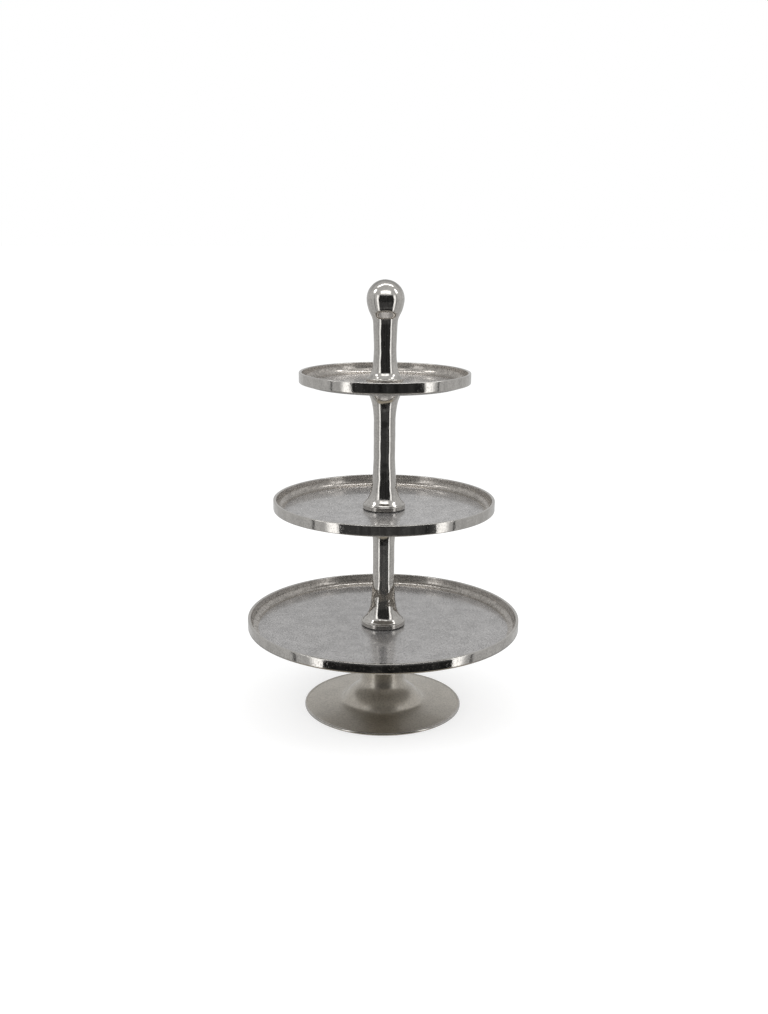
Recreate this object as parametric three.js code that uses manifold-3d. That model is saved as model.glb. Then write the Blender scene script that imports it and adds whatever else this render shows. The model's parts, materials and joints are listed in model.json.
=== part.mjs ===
// A tiered serving stand of cast, nickel-plated aluminium: a bell-shaped foot, three round trays
// with coved rims, two turned stems and a ball handle, screwed together through the trays.
// Millimetres, +Z up. The origin is at table level on the stand's axis.
import * as THREE from 'three';
import { mergeVertices } from 'three/addons/utils/BufferGeometryUtils.js';
import Module from 'manifold-3d';

const wasm = await Module();
wasm.setup();

// Clearances
const SEAT_GAP = 0.3; // between two faces that rest on each other
const TAPPED_GAP = 0.35; // from a thread's crest to its tapped bore
const PASS_GAP = 0.6; // round a screw where it only passes through
const WASHER_GAP = 0.5; // round a screw inside its washer
const OVERRUN = 2; // how far a cut runs past the face it opens

// Screw thread, right-handed
const THREAD_RADIUS = 5;
const THREAD_PITCH = 1.5;
const THREAD_DEPTH = 0.92;
const THREAD_CHAMFER = 0.8;
const ENGAGED_TURNS = 10;
const STUD_ROOT_LENGTH = 20; // how deep a stud sits in the stem that carries it
const STUD_ROOT_THREAD = 12;
const BORE_SPARE = 3; // depth of a tapped bore past the screw's tip
const BORE_CHAMFER = 0.7;

// Foot
const FOOT_RADIUS = 117;
const FOOT_HEIGHT = 120.5; // table to the face that carries the lower tray
const FOOT_WALL = 3;
const CROWN_THICKNESS = 9; // the foot's top, which the bolt passes through
const LIP_HEIGHT = 4.1; // the rolled outer edge, above the land
const LIP_ROUND = 0.9;
const LIP_WIDTH = 2.6;
const LIP_STEP = 0.5; // from the lip's crest down to the disc
const DISC_HEIGHT = 6; // table to the disc where the bell begins
const LAND_WIDTH = 20; // flat ring under the foot's edge
const BELL_RADIUS = 57.6;
const BELL_HEIGHT = 52;
const NECK_RADIUS = 30;
const NECK_STRAIGHT = 38; // plain stretch of the neck above the bell
const CROWN_RADIUS = 36;
const CROWN_FLARE = 14; // height of the flare under the crown's edge
const CROWN_EDGE = 3;

// Pads under the foot
const PAD_COUNT = 4;
const PAD_RADIUS = 6;
const PAD_THICKNESS = 1.2;
const PAD_PROUD = 0.5;
const PAD_RING_RADIUS = 106;
const POCKET_GAP = 0.3;

// Foot bolt and its washers
const BOLT_ACROSS_FLATS = 17;
const BOLT_HEAD_HEIGHT = 6.4;
const PLATE_WASHER_RADIUS = 12;
const PLATE_WASHER_THICKNESS = 2;
const LOCK_WASHER_RADIUS = 9;
const LOCK_WASHER_THICKNESS = 2.2;
const LOCK_WASHER_SLIT = 1;
const LOCK_WASHER_TILT = Math.PI / 9;

// Trays: one section, three radii
const LOWER_TRAY_RADIUS = 200;
const MIDDLE_TRAY_RADIUS = 160;
const UPPER_TRAY_RADIUS = 121.5;
const RIM_BAND = 14.7; // height of the upright outer band
const RIM_LAND = 4.4; // width of the rim's flat top
const RIM_ROUND = 1.1;
const FLOOR_DEPTH = 15.7; // rim top to floor
const COVE_RUN = 11; // how far the inner wall sweeps in before it meets the floor
const PLATE_THICKNESS = 3.3;
const UNDER_RUN = 15; // the slope under the rim, from the band in to the plate
const HUB_RADIUS = 34;
const HUB_DROP = 3; // thickening under the plate round the hole
const SEAT_MARGIN = 1.5; // the floor's seat reaches this far past the flange on it

// Stems and handle
const SEAL_THICKNESS = 0.8; // rubber washer under each foot flange
const SEAL_INSET = 1.2;
const LOWER_STEM_LENGTH = 169.4;
const LOWER_FLANGE_RADIUS = 32.2;
const LOWER_WAIST_RADIUS = 16.1;
const MIDDLE_STEM_LENGTH = 174.6;
const MIDDLE_FLANGE_RADIUS = 30.8;
const MIDDLE_WAIST_RADIUS = 15.8;
const HANDLE_LENGTH = 142.2;
const HANDLE_FLANGE_RADIUS = 26.6;
const HANDLE_WAIST_RADIUS = 16.2;
const HANDLE_FLARE_HEIGHT = 38;
const FLANGE_EDGE = 4.6; // upright edge of a base flange
const FLANGE_ROUND = 2;
const FLARE_HEIGHT = 66; // from the flange's round to the waist
const COLLAR_RADIUS = 27.4; // the flare that carries the next tray
const COLLAR_EDGE = 4;
const COLLAR_ROUND = 1.4;
const COLLAR_FLARE = 42;
const BALL_RADIUS = 26.8;
const BALL_NECK_DROP = 68; // ball centre down to where the handle is slimmest

// Outlines as shares: how far across the flare, and how far along its height
const flareShares = [[0.9, 0.03], [0.68, 0.075], [0.44, 0.16], [0.29, 0.27], [0.17, 0.42], [0.07, 0.65]];
const collarShares = [[0.76, 0.09], [0.49, 0.22], [0.3, 0.36], [0.14, 0.58], [0.04, 0.8]];
const bellShares = [[1.7, 0.008], [1.38, 0.02], [1.19, 0.04], [1.07, 0.07], [1, 0.12], [0.906, 0.2],
  [0.76, 0.3], [0.58, 0.385], [0.4, 0.45], [0.254, 0.52], [0.145, 0.605], [0.072, 0.73], [0.03, 1]];
const handleNeckShares = [[0.81, 0.176], [0.5, 0.3], [0.34, 0.36], [0.23, 0.42], [0.13, 0.54], [0.05, 0.72]];

// Facets: the longest chord on each kind of round
const TRAY_CHORD = 25;
const FOOT_CHORD = 20;
const STEM_CHORD = 4.5;
const SMALL_CHORD = 3.2;
const THREAD_STEPS = 10; // facets to a turn of thread
const CORNER_STEPS = 2;
const COVE_STEPS = 5;
const BALL_STEPS = 8;

// Places along the axis, each taken from the piece below
const THROUGH_RADIUS = THREAD_RADIUS + PASS_GAP;
const BORE_RADIUS = THREAD_RADIUS + TAPPED_GAP;
const ENGAGEMENT = ENGAGED_TURNS * THREAD_PITCH;
const BORE_DEPTH = ENGAGEMENT + BORE_SPARE;
const TRAY_RISE = SEAT_GAP + HUB_DROP + PLATE_THICKNESS; // seat below to tray floor
const FLANGE_RISE = SEAT_GAP + SEAL_THICKNESS + SEAT_GAP; // tray floor to flange
const STUD_REACH = TRAY_RISE + FLANGE_RISE + ENGAGEMENT;
const LOWER_FLOOR = FOOT_HEIGHT + TRAY_RISE;
const LOWER_STEM_BASE = LOWER_FLOOR + FLANGE_RISE;
const MIDDLE_FLOOR = LOWER_STEM_BASE + LOWER_STEM_LENGTH + TRAY_RISE;
const MIDDLE_STEM_BASE = MIDDLE_FLOOR + FLANGE_RISE;
const UPPER_FLOOR = MIDDLE_STEM_BASE + MIDDLE_STEM_LENGTH + TRAY_RISE;

// Materials
function castNickel(tone, roughness) {
  return new THREE.MeshStandardMaterial({ color: tone, roughness, metalness: 1 });
}

function zincSteel() {
  return new THREE.MeshStandardMaterial({ color: 0x9da0a3, roughness: 0.35, metalness: 1 });
}

function darkRubber() {
  return new THREE.MeshStandardMaterial({ color: 0x1d1c1b, roughness: 0.8, metalness: 0 });
}

function greyFelt() {
  return new THREE.MeshStandardMaterial({ color: 0x35322f, roughness: 1, metalness: 0 });
}

// Small helpers for outlines, turned pieces and cuts
function point(radius, height) {
  return new THREE.Vector2(radius, height);
}

function sidesFor(radius, chord) {
  return 4 * Math.max(3, Math.round((Math.PI * radius) / (2 * chord)));
}

// Part of an ellipse, from one angle to another
function arc(centre, across, up, from, to, steps) {
  const points = [];
  for (let i = 0; i <= steps; i++) {
    const angle = from + ((to - from) * i) / steps;
    points.push(point(centre.x + across * Math.cos(angle), centre.y + up * Math.sin(angle)));
  }
  return points;
}

// An outline moved inwards by one wall, for the hollow side of a casting
function inset(outline, wall) {
  return outline.map((here, i) => {
    const before = outline[Math.max(i - 1, 0)];
    const after = outline[Math.min(i + 1, outline.length - 1)];
    const along = after.clone().sub(before).normalize();
    return point(here.x - along.y * wall, here.y + along.x * wall);
  });
}

// A solid turned about +Z. The outline runs up its outside and down its inside
function turned(outline, sides) {
  const geometry = new THREE.LatheGeometry(outline, sides);
  geometry.rotateX(Math.PI / 2);
  return geometry;
}

function closed(outline) {
  return [...outline, outline[0].clone()];
}

// An upright round bar that stands on z = 0
function bar(radius, height, chord) {
  const sides = sidesFor(radius, chord);
  return turned([point(0, 0), point(radius, 0), point(radius, height), point(0, height)], sides);
}

function ring(inner, outer, height, chord) {
  const outline = [point(inner, 0), point(outer, 0), point(outer, height), point(inner, height)];
  return turned(closed(outline), sidesFor(outer, chord));
}

function solid(geometry) {
  const bare = new THREE.BufferGeometry();
  bare.setAttribute('position', geometry.getAttribute('position').clone());
  bare.setIndex(geometry.getIndex() ? geometry.getIndex().clone() : null);
  const merged = mergeVertices(bare);
  const indices = Array.from(merged.getIndex().array);
  const kept = [];
  for (let i = 0; i < indices.length; i += 3) {
    const [a, b, c] = indices.slice(i, i + 3);
    if (a !== b && b !== c && c !== a) {
      kept.push(a, b, c);
    }
  }
  return new wasm.Manifold(new wasm.Mesh({
    numProp: 3,
    vertProperties: Float32Array.from(merged.getAttribute('position').array),
    triVerts: Uint32Array.from(kept),
  }));
}

function geometryOf(body) {
  const mesh = body.getMesh();
  const geometry = new THREE.BufferGeometry();
  geometry.setAttribute('position', new THREE.BufferAttribute(Float32Array.from(mesh.vertProperties), 3));
  geometry.setIndex(new THREE.BufferAttribute(Uint32Array.from(mesh.triVerts), 1));
  geometry.computeVertexNormals();
  return geometry;
}

function piece(name, geometry, material, height = 0) {
  const mesh = new THREE.Mesh(geometry, material);
  mesh.name = name;
  mesh.position.z = height;
  return mesh;
}

// A length of screw thread that stands on z = 0, its ends cut square and chamfered.
// The crest and the root are two helices, and each flank is the strip between them.
function threadedBar(length) {
  const turns = Math.ceil((length + 2 * OVERRUN) / THREAD_PITCH) + 1;
  const last = turns * THREAD_STEPS;
  const rootRadius = THREAD_RADIUS - THREAD_DEPTH;
  const positions = [];
  for (let step = 0; step <= last; step++) {
    const angle = (2 * Math.PI * step) / THREAD_STEPS;
    const rise = (THREAD_PITCH * step) / THREAD_STEPS - OVERRUN;
    positions.push(THREAD_RADIUS * Math.cos(angle), THREAD_RADIUS * Math.sin(angle), rise);
    positions.push(rootRadius * Math.cos(angle), rootRadius * Math.sin(angle), rise + THREAD_PITCH / 2);
  }
  const crest = (step) => 2 * step;
  const root = (step) => 2 * step + 1;
  const foot = positions.length / 3;
  const head = foot + 1;
  const top = (THREAD_PITCH * last) / THREAD_STEPS - OVERRUN;
  positions.push(0, 0, -OVERRUN);
  positions.push(0, 0, top + THREAD_PITCH / 2);
  const faces = [];
  const strip = (low, lowNext, highNext, high) => faces.push(low, lowNext, highNext, low, highNext, high);
  for (let step = 0; step < last; step++) {
    strip(crest(step), crest(step + 1), root(step + 1), root(step));
    if (step < last - THREAD_STEPS) {
      const above = step + THREAD_STEPS;
      strip(root(step), root(step + 1), crest(above + 1), crest(above));
    }
  }
  for (let step = 0; step < THREAD_STEPS; step++) {
    faces.push(foot, crest(step + 1), crest(step));
    faces.push(head, root(last - THREAD_STEPS + step), root(last - THREAD_STEPS + step + 1));
  }
  faces.push(foot, root(0), crest(THREAD_STEPS), foot, crest(0), root(0));
  faces.push(head, root(last), crest(last), head, crest(last), root(last - THREAD_STEPS));
  const geometry = new THREE.BufferGeometry();
  geometry.setAttribute('position', new THREE.Float32BufferAttribute(positions, 3));
  geometry.setIndex(faces);
  const endRadius = THREAD_RADIUS - THREAD_CHAMFER;
  const trim = turned([
    point(0, 0),
    point(endRadius, 0),
    point(THREAD_RADIUS + OVERRUN, THREAD_CHAMFER + OVERRUN),
    point(THREAD_RADIUS + OVERRUN, length - THREAD_CHAMFER - OVERRUN),
    point(endRadius, length),
    point(0, length),
  ], sidesFor(THREAD_RADIUS, SMALL_CHORD));
  return solid(geometry).intersect(solid(trim));
}

// Foot: land, lip, disc, bell, neck and crown outside, and one wall inside that
function footOutside() {
  const lipTop = PAD_PROUD + LIP_HEIGHT;
  const discEdge = point(FOOT_RADIUS - LIP_WIDTH, lipTop - LIP_STEP);
  const bell = bellShares.map(([across, up]) =>
    point(NECK_RADIUS + (BELL_RADIUS - NECK_RADIUS) * across, DISC_HEIGHT + BELL_HEIGHT * up));
  const neckTop = DISC_HEIGHT + BELL_HEIGHT + NECK_STRAIGHT;
  const flare = arc(
    point(CROWN_RADIUS, FOOT_HEIGHT - CROWN_EDGE - CROWN_FLARE),
    NECK_RADIUS - CROWN_RADIUS, CROWN_FLARE, 0, Math.PI / 2, COVE_STEPS - 1);
  return { discEdge, bell, neckTop, flare, lipTop };
}

function footGeometry() {
  const { discEdge, bell, neckTop, flare, lipTop } = footOutside();
  const lipCentre = point(FOOT_RADIUS - LIP_ROUND, lipTop - LIP_ROUND);
  const ceiling = FOOT_HEIGHT - CROWN_THICKNESS;
  const landInner = FOOT_RADIUS - LAND_WIDTH;
  const wall = inset([discEdge, ...bell, point(NECK_RADIUS, neckTop)], FOOT_WALL).reverse();
  const hollow = wall.slice(0, -1).filter((spot, i) => i % 2 === 0);
  const neckHollow = NECK_RADIUS - FOOT_WALL;
  const underDisc = hollow[hollow.length - 1].y;
  const outline = [
    point(landInner, PAD_PROUD),
    point(FOOT_RADIUS - LIP_ROUND, PAD_PROUD),
    point(FOOT_RADIUS, PAD_PROUD + LIP_ROUND),
    ...arc(lipCentre, LIP_ROUND, LIP_ROUND, 0, Math.PI / 2, CORNER_STEPS),
    discEdge,
    ...bell,
    point(NECK_RADIUS, neckTop),
    ...flare,
    point(CROWN_RADIUS, FOOT_HEIGHT),
    point(THROUGH_RADIUS, FOOT_HEIGHT),
    point(THROUGH_RADIUS, ceiling),
    point(neckHollow, ceiling),
    ...hollow,
    point(landInner, underDisc),
  ];
  let body = solid(turned(closed(outline), sidesFor(FOOT_RADIUS, FOOT_CHORD)));
  const pocketRadius = PAD_RADIUS + POCKET_GAP;
  const pocketDepth = PAD_THICKNESS + SEAT_GAP - PAD_PROUD;
  for (let i = 0; i < PAD_COUNT; i++) {
    const cutter = bar(pocketRadius, pocketDepth + OVERRUN, SMALL_CHORD);
    cutter.translate(padPlace(i).x, padPlace(i).y, PAD_PROUD - OVERRUN);
    body = body.subtract(solid(cutter));
  }
  return geometryOf(body);
}

function padPlace(i) {
  const angle = (2 * Math.PI * (i + 1 / 2)) / PAD_COUNT;
  return point(PAD_RING_RADIUS * Math.cos(angle), PAD_RING_RADIUS * Math.sin(angle));
}

function pads() {
  const group = new THREE.Group();
  for (let i = 0; i < PAD_COUNT; i++) {
    const pad = piece(`foot_pad_${i + 1}`, bar(PAD_RADIUS, PAD_THICKNESS, SMALL_CHORD), greyFelt());
    pad.position.set(padPlace(i).x, padPlace(i).y, 0);
    group.add(pad);
  }
  return group;
}

// Foot bolt: hex head inside the neck, plain shank through the crown, thread in the lower stem
function boltGeometry() {
  const grip = SEAT_GAP + LOCK_WASHER_THICKNESS + SEAT_GAP + PLATE_WASHER_THICKNESS + SEAT_GAP
    + CROWN_THICKNESS + TRAY_RISE + FLANGE_RISE;
  const head = new THREE.CylinderGeometry(
    BOLT_ACROSS_FLATS / Math.sqrt(3), BOLT_ACROSS_FLATS / Math.sqrt(3), BOLT_HEAD_HEIGHT, 6);
  head.rotateX(Math.PI / 2);
  head.translate(0, 0, BOLT_HEAD_HEIGHT / 2);
  const plain = bar(THREAD_RADIUS - THREAD_DEPTH / 2, BOLT_HEAD_HEIGHT / 2 + grip, SMALL_CHORD);
  plain.translate(0, 0, BOLT_HEAD_HEIGHT / 2);
  const thread = threadedBar(ENGAGEMENT + THREAD_PITCH)
    .translate([0, 0, BOLT_HEAD_HEIGHT + grip - THREAD_PITCH]);
  return geometryOf(solid(head).add(solid(plain)).add(thread));
}

function lockWasherGeometry() {
  const inner = THREAD_RADIUS + WASHER_GAP;
  const body = solid(ring(inner, LOCK_WASHER_RADIUS, LOCK_WASHER_THICKNESS, SMALL_CHORD));
  const slit = new THREE.BoxGeometry(LOCK_WASHER_RADIUS, LOCK_WASHER_SLIT, LOCK_WASHER_RADIUS);
  slit.rotateX(LOCK_WASHER_TILT);
  slit.translate((inner + LOCK_WASHER_RADIUS) / 2, 0, LOCK_WASHER_THICKNESS / 2);
  return geometryOf(body.subtract(solid(slit)));
}

function footGroup() {
  const group = new THREE.Group();
  const ceiling = FOOT_HEIGHT - CROWN_THICKNESS;
  const plateWasher = ceiling - SEAT_GAP - PLATE_WASHER_THICKNESS;
  const lockWasher = plateWasher - SEAT_GAP - LOCK_WASHER_THICKNESS;
  const boltHead = lockWasher - SEAT_GAP - BOLT_HEAD_HEIGHT;
  const plateRing = ring(THREAD_RADIUS + WASHER_GAP, PLATE_WASHER_RADIUS, PLATE_WASHER_THICKNESS, SMALL_CHORD);
  group.add(piece('foot', footGeometry(), castNickel(0xa39d93, 0.3)));
  group.add(pads());
  group.add(piece('foot_bolt_washer', plateRing, zincSteel(), plateWasher));
  group.add(piece('foot_lock_washer', lockWasherGeometry(), zincSteel(), lockWasher));
  group.add(piece('foot_bolt', boltGeometry(), zincSteel(), boltHead));
  return group;
}

// Tray: its floor is at z = 0, with a round seat for the flange that stands on it
function trayGeometry(radius, flange) {
  const bandFoot = FLOOR_DEPTH - RIM_BAND;
  const under = -PLATE_THICKNESS;
  const outerEdge = point(radius - RIM_ROUND, FLOOR_DEPTH - RIM_ROUND);
  const innerEdge = point(radius - RIM_LAND + RIM_ROUND, FLOOR_DEPTH - RIM_ROUND);
  const coveCentre = point(radius - RIM_LAND - COVE_RUN, FLOOR_DEPTH - RIM_ROUND);
  const outline = [
    point(THROUGH_RADIUS, under - HUB_DROP),
    point(HUB_RADIUS, under - HUB_DROP),
    point(HUB_RADIUS + HUB_DROP, under),
    point(radius - UNDER_RUN, under),
    point(radius - RIM_ROUND, bandFoot),
    point(radius, bandFoot + RIM_ROUND),
    ...arc(outerEdge, RIM_ROUND, RIM_ROUND, 0, Math.PI / 2, CORNER_STEPS),
    ...arc(innerEdge, -RIM_ROUND, RIM_ROUND, Math.PI / 2, 0, CORNER_STEPS),
    ...arc(coveCentre, COVE_RUN, RIM_ROUND - FLOOR_DEPTH, 0, Math.PI / 2, COVE_STEPS).slice(1),
    point(flange + SEAT_MARGIN, 0),
    point(THROUGH_RADIUS, 0),
  ];
  return turned(closed(outline), sidesFor(radius, TRAY_CHORD));
}

// The tapped bore at the foot of a stem or handle, as an outline from the axis out to the face
function boreOutline(depth, face, sign) {
  return [
    point(0, face + sign * (depth + BORE_RADIUS / 2)),
    point(BORE_RADIUS, face + sign * depth),
    point(BORE_RADIUS, face + sign * BORE_CHAMFER),
    point(BORE_RADIUS + BORE_CHAMFER, face),
  ];
}

// Foot flange and the flare that runs up from it into the waist
function baseOutline(flange, waist, flareHeight) {
  const roundCentre = point(flange - FLANGE_ROUND, FLANGE_EDGE);
  const shoulder = FLANGE_EDGE + FLANGE_ROUND;
  return [
    ...boreOutline(BORE_DEPTH, 0, 1),
    point(flange, 0),
    ...arc(roundCentre, FLANGE_ROUND, FLANGE_ROUND, 0, Math.PI / 2, CORNER_STEPS),
    ...flareShares.map(([across, up]) =>
      point(waist + (flange - FLANGE_ROUND - waist) * across, shoulder + flareHeight * up)),
    point(waist, shoulder + flareHeight),
  ];
}

// A stem: base flange and flare, slim waist, and a collar that carries the next tray
function stemGeometry(length, flange, waist) {
  const collarFoot = length - COLLAR_EDGE;
  const collar = collarShares.map(([across, down]) =>
    point(waist + (COLLAR_RADIUS - waist) * across, collarFoot - COLLAR_FLARE * down)).reverse();
  const topRound = point(COLLAR_RADIUS - COLLAR_ROUND, length - COLLAR_ROUND);
  const outline = [
    ...baseOutline(flange, waist, FLARE_HEIGHT),
    point(waist, collarFoot - COLLAR_FLARE),
    ...collar,
    point(COLLAR_RADIUS, collarFoot),
    ...arc(topRound, COLLAR_ROUND, COLLAR_ROUND, 0, Math.PI / 2, CORNER_STEPS),
    ...boreOutline(STUD_ROOT_LENGTH + SEAT_GAP, length, -1).reverse(),
  ];
  return turned(outline, sidesFor(waist, STEM_CHORD));
}

// The handle: base flange, slim grip, and a ball in one casting
function handleGeometry() {
  const centre = HANDLE_LENGTH - BALL_RADIUS;
  const slimmest = centre - BALL_NECK_DROP;
  const neck = handleNeckShares.map(([across, down]) =>
    point(HANDLE_WAIST_RADIUS + (BALL_RADIUS - HANDLE_WAIST_RADIUS) * across, centre - BALL_NECK_DROP * down));
  const ballFoot = -Math.PI / 9;
  const ball = arc(point(0, centre), BALL_RADIUS, BALL_RADIUS, ballFoot, Math.PI / 2, BALL_STEPS);
  const outline = [
    ...baseOutline(HANDLE_FLANGE_RADIUS, HANDLE_WAIST_RADIUS, HANDLE_FLARE_HEIGHT),
    point(HANDLE_WAIST_RADIUS, slimmest),
    ...neck.reverse(),
    ...ball.slice(0, -1),
    point(0, HANDLE_LENGTH),
  ];
  return turned(outline, sidesFor(HANDLE_WAIST_RADIUS, STEM_CHORD));
}

// A stud: threaded at both ends, with a plain waist where it passes the tray. It stands on z = 0
function studGeometry() {
  const length = STUD_ROOT_LENGTH + STUD_REACH;
  const upper = threadedBar(ENGAGEMENT + THREAD_PITCH)
    .translate([0, 0, length - ENGAGEMENT - THREAD_PITCH]);
  const lower = threadedBar(STUD_ROOT_THREAD);
  const waist = length - STUD_ROOT_THREAD - ENGAGEMENT + THREAD_PITCH;
  const plain = bar(THREAD_RADIUS - THREAD_DEPTH / 2, waist, SMALL_CHORD);
  plain.translate(0, 0, STUD_ROOT_THREAD - THREAD_PITCH);
  return geometryOf(lower.add(solid(plain)).add(upper));
}

function sealGeometry(flange) {
  return ring(THREAD_RADIUS + WASHER_GAP, flange - SEAL_INSET, SEAL_THICKNESS, STEM_CHORD);
}

// One tier: a tray, the rubber washer on its floor, and what is screwed down on it
function tier(floor, tray, seal, post, stud) {
  const group = new THREE.Group();
  group.position.z = floor;
  tray.position.z = 0;
  seal.position.z = SEAT_GAP;
  post.position.z = FLANGE_RISE;
  group.add(tray, seal, post);
  if (stud) {
    group.add(stud);
  }
  return group;
}

function lowerTier() {
  const plate = trayGeometry(LOWER_TRAY_RADIUS, LOWER_FLANGE_RADIUS);
  const tray = piece('lower_tray', plate, castNickel(0xb1afac, 0.32));
  const seal = piece('lower_stem_washer', sealGeometry(LOWER_FLANGE_RADIUS), darkRubber());
  const stem = stemGeometry(LOWER_STEM_LENGTH, LOWER_FLANGE_RADIUS, LOWER_WAIST_RADIUS);
  const post = piece('lower_stem', stem, castNickel(0xb8b2a8, 0.12));
  const studFoot = FLANGE_RISE + LOWER_STEM_LENGTH - STUD_ROOT_LENGTH;
  const stud = piece('middle_stud', studGeometry(), zincSteel(), studFoot);
  return tier(LOWER_FLOOR, tray, seal, post, stud);
}

function middleTier() {
  const plate = trayGeometry(MIDDLE_TRAY_RADIUS, MIDDLE_FLANGE_RADIUS);
  const tray = piece('middle_tray', plate, castNickel(0xb1afac, 0.32));
  const seal = piece('middle_stem_washer', sealGeometry(MIDDLE_FLANGE_RADIUS), darkRubber());
  const stem = stemGeometry(MIDDLE_STEM_LENGTH, MIDDLE_FLANGE_RADIUS, MIDDLE_WAIST_RADIUS);
  const post = piece('middle_stem', stem, castNickel(0xb8b2a8, 0.12));
  const studFoot = FLANGE_RISE + MIDDLE_STEM_LENGTH - STUD_ROOT_LENGTH;
  const stud = piece('upper_stud', studGeometry(), zincSteel(), studFoot);
  return tier(MIDDLE_FLOOR, tray, seal, post, stud);
}

function upperTier() {
  const plate = trayGeometry(UPPER_TRAY_RADIUS, HANDLE_FLANGE_RADIUS);
  const tray = piece('upper_tray', plate, castNickel(0xb1afac, 0.32));
  const seal = piece('handle_washer', sealGeometry(HANDLE_FLANGE_RADIUS), darkRubber());
  const post = piece('handle', handleGeometry(), castNickel(0xb8b2a8, 0.12));
  return tier(UPPER_FLOOR, tray, seal, post);
}

const stand = new THREE.Group();
stand.add(footGroup());
stand.add(lowerTier());
stand.add(middleTier());
stand.add(upperTier());

export default stand;
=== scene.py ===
"""Tiered serving stand: turned and cast nickel pieces, their fasteners, and a small studio.

Every piece is made as a fine mesh in metres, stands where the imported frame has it, and rides on
the frame's body. The outlines run up the outside of a turned piece and down its inside.
"""
import json
import math

import bpy
from mathutils import Euler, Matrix, Quaternion, Vector, noise

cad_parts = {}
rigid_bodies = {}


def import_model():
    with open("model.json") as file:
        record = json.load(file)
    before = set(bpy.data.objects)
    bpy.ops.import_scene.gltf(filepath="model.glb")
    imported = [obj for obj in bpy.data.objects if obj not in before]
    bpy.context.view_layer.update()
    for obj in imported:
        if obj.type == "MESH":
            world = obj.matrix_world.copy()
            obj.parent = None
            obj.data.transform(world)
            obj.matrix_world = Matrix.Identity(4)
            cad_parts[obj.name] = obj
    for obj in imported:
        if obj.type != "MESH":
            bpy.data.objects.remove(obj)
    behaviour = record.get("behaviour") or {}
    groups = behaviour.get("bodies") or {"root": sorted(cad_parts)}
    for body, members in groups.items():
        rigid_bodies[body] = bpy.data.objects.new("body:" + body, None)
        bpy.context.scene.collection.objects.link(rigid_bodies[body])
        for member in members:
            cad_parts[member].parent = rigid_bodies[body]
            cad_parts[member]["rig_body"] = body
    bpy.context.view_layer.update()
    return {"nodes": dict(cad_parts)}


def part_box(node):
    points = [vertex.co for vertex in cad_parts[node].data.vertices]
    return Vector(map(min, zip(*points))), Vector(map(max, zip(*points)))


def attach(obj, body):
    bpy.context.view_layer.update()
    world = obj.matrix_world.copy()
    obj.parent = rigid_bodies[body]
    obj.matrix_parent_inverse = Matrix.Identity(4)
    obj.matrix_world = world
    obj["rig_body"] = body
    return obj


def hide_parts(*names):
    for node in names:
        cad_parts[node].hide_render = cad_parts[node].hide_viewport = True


bl_info = {
    "name": "Tiered Serving Stand",
    "version": (1, 0, 0),
    "blender": (4, 5, 0),
    "location": "View3D > Sidebar > Stand",
    "description": "Builds a three-tier nickel serving stand around its packed frame",
    "category": "Add Mesh",
}

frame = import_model()
PADS = sorted(node for node in frame["nodes"] if node.startswith("foot_pad"))

# Surfaces of a casting, as places in its list of materials
MAIN, WALL, POLISHED, UNDER = range(4)

# Outlines as shares: how far across a flare, and how far along its height
FLARE_SHARES = [(1, 0), (0.9, 0.03), (0.68, 0.075), (0.44, 0.16), (0.29, 0.27), (0.17, 0.42),
                (0.07, 0.65), (0, 1)]
COLLAR_SHARES = [(1, 0), (0.76, 0.09), (0.49, 0.22), (0.3, 0.36), (0.14, 0.58), (0.04, 0.8), (0, 1)]
BELL_SHARES = [(1.7, 0.008), (1.38, 0.02), (1.19, 0.04), (1.07, 0.07), (1, 0.12), (0.906, 0.2),
               (0.76, 0.3), (0.58, 0.385), (0.4, 0.45), (0.254, 0.52), (0.145, 0.605),
               (0.072, 0.73), (0.03, 1)]
NECK_SHARES = [(0.887, 0.132), (0.792, 0.191), (0.66, 0.25), (0.51, 0.297), (0.33, 0.353),
               (0.208, 0.401), (0.146, 0.456), (0.1, 0.54), (0.05, 0.72), (0, 1)]

# The bolt's head: its collar as a share of the thread's radius, its seat and face as shares of half
# the width across flats, and the middle as a share of the face
HEAD_SHARES = {"collar": 1.12, "seat": 0.93, "face": 0.94, "middle": 0.6}
# The foot's lip, as shares of its round: where its crest ends, where the disc begins, and the ease
LIP_SHARES = {"crest": 1.6, "disc": 2.2, "ease": 0.1}
# The thread, as shares of its pitch
ROOT_SHARE, FLANK_SHARE = 0.12, 0.72
# How full the corner of a tray's inner wall is: an ellipse has 1, and a smaller power fills it
CORNER_POWER = 0.75

# Fineness of the meshes: sides round a piece, rows in a turn of thread, and longest steps in metres
TRAY_SIDES, FOOT_SIDES, STEM_SIDES, HEAD_SIDES = 288, 224, 128, 120
RING_SIDES, WASHER_SIDES, SMALL_SIDES, SCREW_SIDES = 96, 72, 48, 40
THREAD_ROWS = 16
GUIDE_STEP, UNDER_STEP, FACE_STEP, LAND_STEP = 0.009, 0.006, 0.005, 0.004
FLOOR_STEP, STEM_STEP, BAND_STEP, EDGE_STEP = 0.0035, 0.003, 0.0018, 0.001
TOUCHING, SAME_HEIGHT = 1e-7, 1e-9
CREASE, SCREW_CREASE, SPRING_CREASE = 30, 35, 40  # edges past these angles are sharp, in degrees
QUARTER = math.pi / 2

# Seeds of the unevenness of cast and polished pieces
SEEDS = {"foot": 3.1, "lower_tray": 7.3, "middle_tray": 13.2, "upper_tray": 19.1,
         "lower_stem": 31, "middle_stem": 35.7, "handle": 53}

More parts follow.
